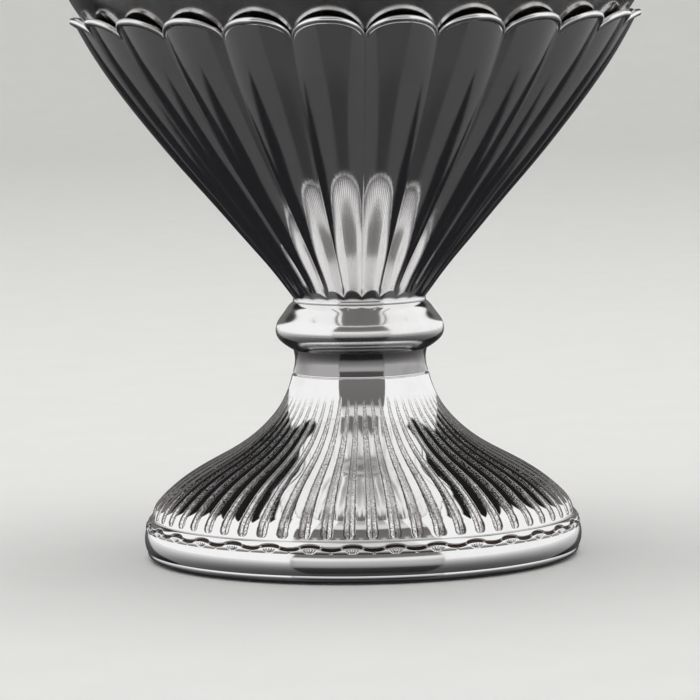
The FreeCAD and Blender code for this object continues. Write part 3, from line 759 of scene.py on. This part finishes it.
def calyx():
    per = 44
    rows = 230
    t = -1 + 2 * np.arange(per) / per
    T = np.tile(t, LOBES)
    base = np.repeat(np.arange(LOBES), per)
    centre = np.radians((base + 0.5) * 15.0)
    s = T * math.pi / 2
    top = PETAL_DIP + (PETAL_TIP - PETAL_DIP) * np.cos(s)
    v = np.linspace(0, 1, rows)[:, None]
    Z = CAP_TOP + (top[None, :] - CAP_TOP) * v
    phi, R = lobe_point(T[None, :], Z)
    A = centre[None, :] + phi
    sl = crest_slope(Z)
    out = np.stack([R * np.sin(A), -R * np.cos(A), Z], -1)
    wall = 0.8 * np.sqrt(1 + sl ** 2)
    Ri = R - wall
    ri = rows // 2
    idx = np.linspace(rows - 1, 0, ri).astype(int)
    inn = np.stack([Ri * np.sin(A), -Ri * np.cos(A), Z], -1)[idx]
    vv = np.r_[out.reshape(-1, 3), inn.reshape(-1, 3)]
    q = grid_faces(rows + ri, len(T), True, True)
    o = new_object("calyx_lobed", vv * MM, (q,), "vessel", [silver], sharp=50.0)
    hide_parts("calyx")
    return o


calyx()


def edge_wire():
    """A half-round bead along each petal's edge, flat side on the sheet."""
    per, ring = 72, 16
    verts, quads, tris = [], [], []
    base = 0
    th = np.linspace(-90, 90, ring - 3)
    for k in range(LOBES):
        t = np.linspace(-0.985, 0.985, per)
        s = t * math.pi / 2
        c = np.cos(s)
        top = PETAL_DIP + (PETAL_TIP - PETAL_DIP) * c
        a0 = math.radians((k + 0.5) * 15.0)
        rad = EDGE_WIRE_R * (0.40 + 0.60 * c ** 0.55)
        pts = []
        P0 = []
        for i in range(per):
            phi, r = lobe_point(np.array(t[i]), np.array(top[i]))
            P0.append((float(r) * math.sin(a0 + float(phi)), -float(r) * math.cos(a0 + float(phi)), top[i]))
        P0 = np.array(P0)
        tang = np.gradient(P0, axis=0)
        tang /= np.linalg.norm(tang, axis=1)[:, None]
        phi, r = lobe_point(t, top)
        aa = a0 + phi
        radial = np.stack([np.sin(aa), -np.cos(aa), np.zeros(per)], -1)
        sl = crest_slope(top)
        nrm = radial - np.array([0, 0, 1.0]) * sl[:, None]
        nrm -= tang * np.sum(nrm * tang, 1)[:, None]
        nrm /= np.linalg.norm(nrm, axis=1)[:, None]
        upv = np.cross(nrm, tang)
        upv *= np.sign(upv[:, 2])[:, None]
        upv /= np.linalg.norm(upv, axis=1)[:, None]
        sect = []
        for q in th:
            q = math.radians(q)
            sect.append((math.cos(q) * 0.92, math.sin(q) - 0.93))
        sect += [(-0.12, -0.02), (-0.12, -1.0), (-0.12, -1.9)]
        for i in range(per):
            for (a, b) in sect:
                pts.append(P0[i] + nrm[i] * a * rad[i] + upv[i] * b * rad[i])
        m = len(sect)
        verts.append(np.array(pts))
        q4 = grid_faces(per, m, True, False, base)
        quads.append(q4)
        n0 = base + per * m
        c0 = np.array(pts[:m]).mean(0)
        c1 = np.array(pts[-m:]).mean(0)
        verts.append(np.array([c0, c1]))
        j = np.arange(m)
        jn = (j + 1) % m
        tris.append(np.c_[np.full(m, n0), base + jn, base + j])
        tris.append(np.c_[np.full(m, n0 + 1), base + (per - 1) * m + j, base + (per - 1) * m + jn])
        base = n0 + 2
    v = np.concatenate(verts)
    o = new_object("petal_bead", v * MM, (np.concatenate(quads), np.concatenate(tris)), "vessel", [bead_silver], sharp=50.0)
    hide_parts("petal_edge_wire")
    return o


edge_wire()

# ---------------------------------------------------------------------
# cup: satin outside, gilt inside
# ---------------------------------------------------------------------
cup_curve = fair(CUP_OUT, 2.5)
cup_curve = np.r_[cup_curve, [(77.0, 166.0)]]
cup_dense = even(cup_curve, 420)
cup_n = normals2(cup_dense)
cup_in = cup_dense - cup_n * 1.0
cup_in = cup_in[cup_in[:, 0] > 0.5]
cup_in[-1] = (76.0, 166.0)
bottom_z = float(cup_in[0, 1])
cup_line = np.r_[[(0.0, 73.0)], cup_dense, cup_in[::-1], [(0.0, bottom_z)]]
CUT = len(cup_dense)
cut_r = 76.4


def cup_inner(r, z):
    i = np.interp(z, cup_dense[:, 1], cup_dense[:, 0])
    if z > 165.95:
        return r < 76.5
    if r < 8.0:
        return z > 73.5
    return r < i - 0.45


lathe("cup_spun", cup_line, "vessel", [satin, gilt], ["cup"], seg=480, edge=0.0, inner=cup_inner, closed=False)
lathe("cup_lip", round_corners([(77.0, 163.4), (77.6, 163.4), (78.4, 163.9), (78.7, 164.7), (78.4, 165.5), (77.6, 166.0), (77.0, 166.0)], 0.5, True, 10.0, 5),
      "vessel", [silver], ["cup_rim"], seg=480, edge=0.0)

# ---------------------------------------------------------------------
# lid
# ---------------------------------------------------------------------
lathe("bezel", [(74.65, 161.7), (75.65, 161.7), (75.65, 166.3), (74.65, 166.3)], "lid", [gilt], ["lid_bezel"],
      seg=480, edge=0.2)
lf = [(72.8, 0.0), (78.3, 0.0), (79.0, 0.4), (79.1, 1.0), (78.5, 1.5), (77.6, 1.7), (72.8, 1.7)]
lathe("lid_plate", round_corners(at(lf, LID_Z), 0.35, True, 10.0, 4), "lid", [silver], ["lid_flange"], seg=480, edge=0.0)
lb = [(74.0, 1.7), (76.0, 1.7), (76.4, 2.2), (76.2, 3.0), (75.4, 3.9), (74.4, 4.5), (74.1, 4.7), (74.0, 4.7)]
lathe("lid_moulding", round_corners(at(lb, LID_Z), 0.4, True, 10.0, 4), "lid", [silver], ["lid_border"], seg=480, edge=0.0)
lid_curve = fair(at(LID_OUT, LID_Z), 2.0)
lid_curve = np.r_[[(74.0, LID_Z + 1.7)], lid_curve]
lid_s = arclen(lid_curve)
lz = LID_Z


def lid_w(s):
    r = np.interp(s, lid_s, lid_curve[:, 0])
    return np.interp(r, [11.5, 16, 25, 40, 60, 74], [0.15, 0.30, 0.55, 1.0, 1.5, 1.8])


def lid_d(s):
    r = np.interp(s, lid_s, lid_curve[:, 0])
    return np.interp(r, [11.5, 16, 25, 40, 60, 74], [0.01, 0.03, 0.07, 0.16, 0.36, 0.42])


s0 = float(np.interp(LID_Z + 5.4, lid_curve[:, 1], lid_s))
s1 = float(np.interp(LID_Z + 41.5, lid_curve[:, 1], lid_s))
fluted("lid_reeded", lid_curve, 1.0, 60, 0.35, lid_w, lid_d, s0, s1, "lid", ["lid_dome"], step=0.35, fine_until=8.0, fine_step=0.16,
       crown=[(11.2, LID_Z + 45.4), (2.7, LID_Z + 45.4), (2.7, LID_Z + 44.4), (10.9, LID_Z + 44.4)], skirt=[(73.0, LID_Z + 1.7)])
FZ = 211.7
lathe("finial_foot", round_corners([(0.0, FZ), (8.4, FZ), (8.4, FZ + .7), (9.0, FZ + 1), (9.2, FZ + 1.5), (9.0, FZ + 2), (8.3, FZ + 2.4), (7.2, FZ + 3.3), (6.7, FZ + 4.8), (0.0, FZ + 4.8)], 0.5, False, 10.0, 5),
      "lid", [silver], ["finial_collar"], seg=240, edge=0.0, closed=False)
KZ = 216.5
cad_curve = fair([(6.7, KZ), (8.8, KZ + .7), (10.1, KZ + 2), (10.5, KZ + 3.4), (10.0, KZ + 4.8), (8.5, KZ + 6.2), (6.2, KZ + 7.4)], 0.7, 0.05)
lathe("finial_ball", np.r_[[(0.0, KZ)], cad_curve, [(0.0, KZ + 7.4)]], "lid", [silver], ["finial_knop"], seg=240, edge=0.0, closed=False)
CZ = 223.9
ck = c2([(5.4, CZ), (5.5, CZ + .6), (4.5, CZ + 1.4), (3.7, CZ + 2.5), (3.55, CZ + 3.8), (3.9, CZ + 4.7), (4.4, CZ + 5.3), (4.4, CZ + 6.2)], 80)
lathe("cross_cup", np.r_[[(0.0, CZ)], ck, [(0.0, CZ + 6.2)]], "lid", [silver], ["cross_socket"], seg=200, edge=0.0, closed=False)

# ---------------------------------------------------------------------
# finishes on the CAD pieces that stay
# ---------------------------------------------------------------------
finish = {"crown_plate": brass, "stem_sleeve": brass, "calyx_seat_plate": brass, "cup_boss": brass,
          "tie_rod": zinc, "clamp_washer": zinc, "spring_washer": zinc, "lock_nut": zinc,
          "finial_screw": zinc, "finial_washer": zinc, "finial_nut": zinc,
          "cup_gasket": fibre, "cross": silver, "cross_boss": silver}
for node, mat in finish.items():
    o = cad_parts[node]
    if not o.material_slots:
        o.data.materials.append(mat)
    for sl in o.material_slots:
        sl.material = mat

# =====================================================================
# studio
# =====================================================================
world = bpy.data.worlds.new("studio")
scene.world = world
world.use_nodes = True
wt = world.node_tree
wt.nodes.clear()
g = G(wt)
w_out = g.node("ShaderNodeOutputWorld")
tc = g.node("ShaderNodeTexCoord").outputs["Generated"]
nrm = g.node("ShaderNodeVectorMath", operation="NORMALIZE")
g.put(nrm.inputs[0], tc)
sx = g.node("ShaderNodeSeparateXYZ")
g.put(sx.inputs[0], nrm.outputs[0])
X, Y, Zr = sx.outputs
ax = g.math("ABSOLUTE", X)
az_ = g.math("ABSOLUTE", Zr)
below = g.math("LESS_THAN", Zr, 0.0)


def gate(v, a, b, soft):
    """1 where v lies between a and b, with soft edges."""
    return g.mul(g.ramp01(v, a - soft, a + soft), g.ramp01(v, b + soft, b - soft))


eps = 1e-4
axs = g.math("MAXIMUM", ax, eps)
azs = g.math("MAXIMUM", az_, eps)
yx = g.div(Y, axs)
zx = g.div(az_, axs)
px = g.div(ax, azs)
qy = g.div(Y, azs)
BOX = 0.93

# tall soft boxes on both sides, carried over the top as a canopy in front of the piece
reach = g.add(0.75, g.mul(g.math("EXPONENT", g.mul(zx, -4.0)), 3.2))
front_edge = g.ramp01(yx, -1.22, -1.16)
side = g.mul(g.mul(front_edge, g.ramp01(g.sub(yx, reach), 0.05, -0.05)), g.ramp01(zx, 1.22, 1.12))
canopy = g.mul(g.mul(front_edge, g.ramp01(qy, 0.10, 0.05)), g.ramp01(zx, 0.3, 0.5))
# overhead scrim, narrower towards the back
half = g.math("MAXIMUM", g.sub(0.50, g.mul(g.math("MAXIMUM", g.sub(qy, 0.2), 0.0), 0.6)), 0.05)
over = g.mul(g.ramp01(g.sub(px, half), 0.04, -0.04), gate(qy, -0.02, 0.62, 0.04))
core = g.mul(g.ramp01(px, 0.23, 0.12), g.ramp01(qy, -0.30, -0.15))
white = g.math("MAXIMUM", side, g.math("MAXIMUM", canopy, over))
lit = g.mul(white, g.lerp(core, BOX, 0.62))
# the room seen between the boxes, on the camera's side
el = g.math("ARCSINE", g.math("MINIMUM", az_, 0.9999))
elr = g.node("ShaderNodeFloatCurve")
g.put(elr.inputs["Value"], g.div(el, math.pi / 2))
cv = elr.mapping.curves[0]
pts = [(0.0, 0.50), (0.05, 0.66), (0.10, 0.82), (0.17, 0.80), (0.22, 0.17), (0.53, 0.15), (0.59, 0.70), (0.71, 0.72), (0.82, 0.44), (1.0, 0.45)]
cv.points[0].location = pts[0]
cv.points[1].location = pts[-1]
for q in pts[1:-1]:
    cv.points.new(*q)
for q in cv.points:
    q.handle_type = "VECTOR"
elr.mapping.update()
front = g.mul(g.ramp01(Y, 0.02, -0.08), g.ramp01(ax, 0.72, 0.60))
front_v = g.mul(elr.outputs[0], front)
back_v = g.mul(g.ramp01(Y, 0.05, 0.35), g.mul(g.ramp01(el, 0.42, 0.25), 0.16))
studio = g.math("MAXIMUM", lit, g.math("MAXIMUM", front_v, g.math("MAXIMUM", back_v, 0.012)))
fres = g.add(0.10, g.mul(g.math("POWER", g.sub(1.0, az_), 5.0), 0.90))
studio = g.mul(studio, g.lerp(below, 1.0, fres))
warm = g.mix(g.ramp01(studio, 0.08, 0.8), (1.0, 0.96, 0.94, 1), (1.0, 1.0, 1.0, 1))
bg_gloss = g.node("ShaderNodeBackground")
g.put(bg_gloss.inputs["Color"], warm)
g.put(bg_gloss.inputs["Strength"], studio)
bg_plain = g.node("ShaderNodeBackground")
bg_plain.inputs["Color"].default_value = (1.0, 0.995, 0.985, 1)
bg_plain.inputs["Strength"].default_value = 0.9
lp = g.node("ShaderNodeLightPath")
mx = g.node("ShaderNodeMixShader")
g.put(mx.inputs[0], lp.outputs["Is Glossy Ray"])
g.l.new(bg_plain.outputs[0], mx.inputs[1])
g.l.new(bg_gloss.outputs[0], mx.inputs[2])
g.l.new(mx.outputs[0], w_out.inputs["Surface"])
world.cycles.sampling_method = "NONE"

# pale sweep: floor and curved wall in one sheet, seen only from inside
fm, fg, fb, fpos = material("sweep")
grain = fg.noise(fpos, 40.0, 3.0, 0.5)
fg.put(fb.inputs["Base Color"], fg.mix(grain, (0.80, 0.80, 0.79, 1), (0.84, 0.84, 0.83, 1)))
fb.inputs["Roughness"].default_value = 0.85
tr = fg.node("ShaderNodeBsdfTransparent")
geo = fg.node("ShaderNodeNewGeometry")
fmx = fg.node("ShaderNodeMixShader")
fg.put(fmx.inputs[0], geo.outputs["Backfacing"])
fg.l.new(fb.outputs[0], fmx.inputs[1])
fg.l.new(tr.outputs[0], fmx.inputs[2])
fout = [k for k in fg.n if k.type == "OUTPUT_MATERIAL"][0]
fg.l.new(fmx.outputs[0], fout.inputs["Surface"])

seg = 96
prof = [(0.0, 0.0), (2.6, 0.0)] + [(2.6 + 0.9 * math.sin(a), 0.9 - 0.9 * math.cos(a)) for a in np.linspace(0.15, math.pi / 2, 10)] + [(3.5, 3.5)]
fv, ff = [(0.0, 0.0, -0.0002)], []
for r, z in prof[1:]:
    for k in range(seg):
        a = 2 * math.pi * k / seg
        fv.append((r * math.cos(a), r * math.sin(a), z - 0.0002))
for k in range(seg):
    ff.append((0, 1 + k, 1 + (k + 1) % seg))
for i in range(len(prof) - 2):
    for k in range(seg):
        a, b = 1 + i * seg + k, 1 + i * seg + (k + 1) % seg
        ff.append((a, a + seg, b + seg, b))
me = bpy.data.meshes.new("sweep")
me.from_pydata(fv, [], ff)
me.update()
me.shade_smooth()
me.materials.append(fm)
sweep = bpy.data.objects.new("sweep", me)
scene.collection.objects.link(sweep)
sweep.visible_glossy = False
sweep.visible_diffuse = True
sweep.visible_shadow = False

gm, gg, gb, gpos = material("black_gloss")
gg.put(gb.inputs["Base Color"], gg.mix(gg.noise(gpos, 30.0, 2.0), (0.004, 0.004, 0.004, 1), (0.006, 0.006, 0.006, 1)))
gb.inputs["Roughness"].default_value = 0.09
gb.inputs["Emission Color"].default_value = (0.86, 0.84, 1.0, 1)
_, g_rad, _ = cylinder_coords(gg, gpos)
# the patch hidden under the foot is lit, so that the hollow foot can be seen into from below
gg.put(gb.inputs["Emission Strength"], gg.lerp(gg.ramp01(g_rad, 0.0500, 0.0485), 0.011, 0.45))
gb.inputs["IOR"].default_value = 1.62
pv = [(0.0, 0.0, -0.0004)] + [(2.5 * math.cos(2 * math.pi * k / 96), 2.5 * math.sin(2 * math.pi * k / 96), -0.0004) for k in range(96)]
pm = bpy.data.meshes.new("black_gloss")
pm.from_pydata(pv, [], [(0, 1 + k, 1 + (k + 1) % 96) for k in range(96)])
pm.update()
pm.materials.append(gm)
gloss = bpy.data.objects.new("black_gloss", pm)
scene.collection.objects.link(gloss)
gloss.visible_camera = False
gloss.visible_diffuse = False
gloss.visible_transmission = False
gloss.visible_shadow = False
gloss.visible_volume_scatter = False

key = bpy.data.lights.new("overhead", "AREA")
key.shape = "RECTANGLE"
key.size, key.size_y = 1.4, 1.2
key.energy = 9.0
ko = bpy.data.objects.new("overhead", key)
ko.location = (0.0, 0.1, 1.6)
scene.collection.objects.link(ko)
ko.visible_glossy = False

scene.view_settings.view_transform = "Standard"
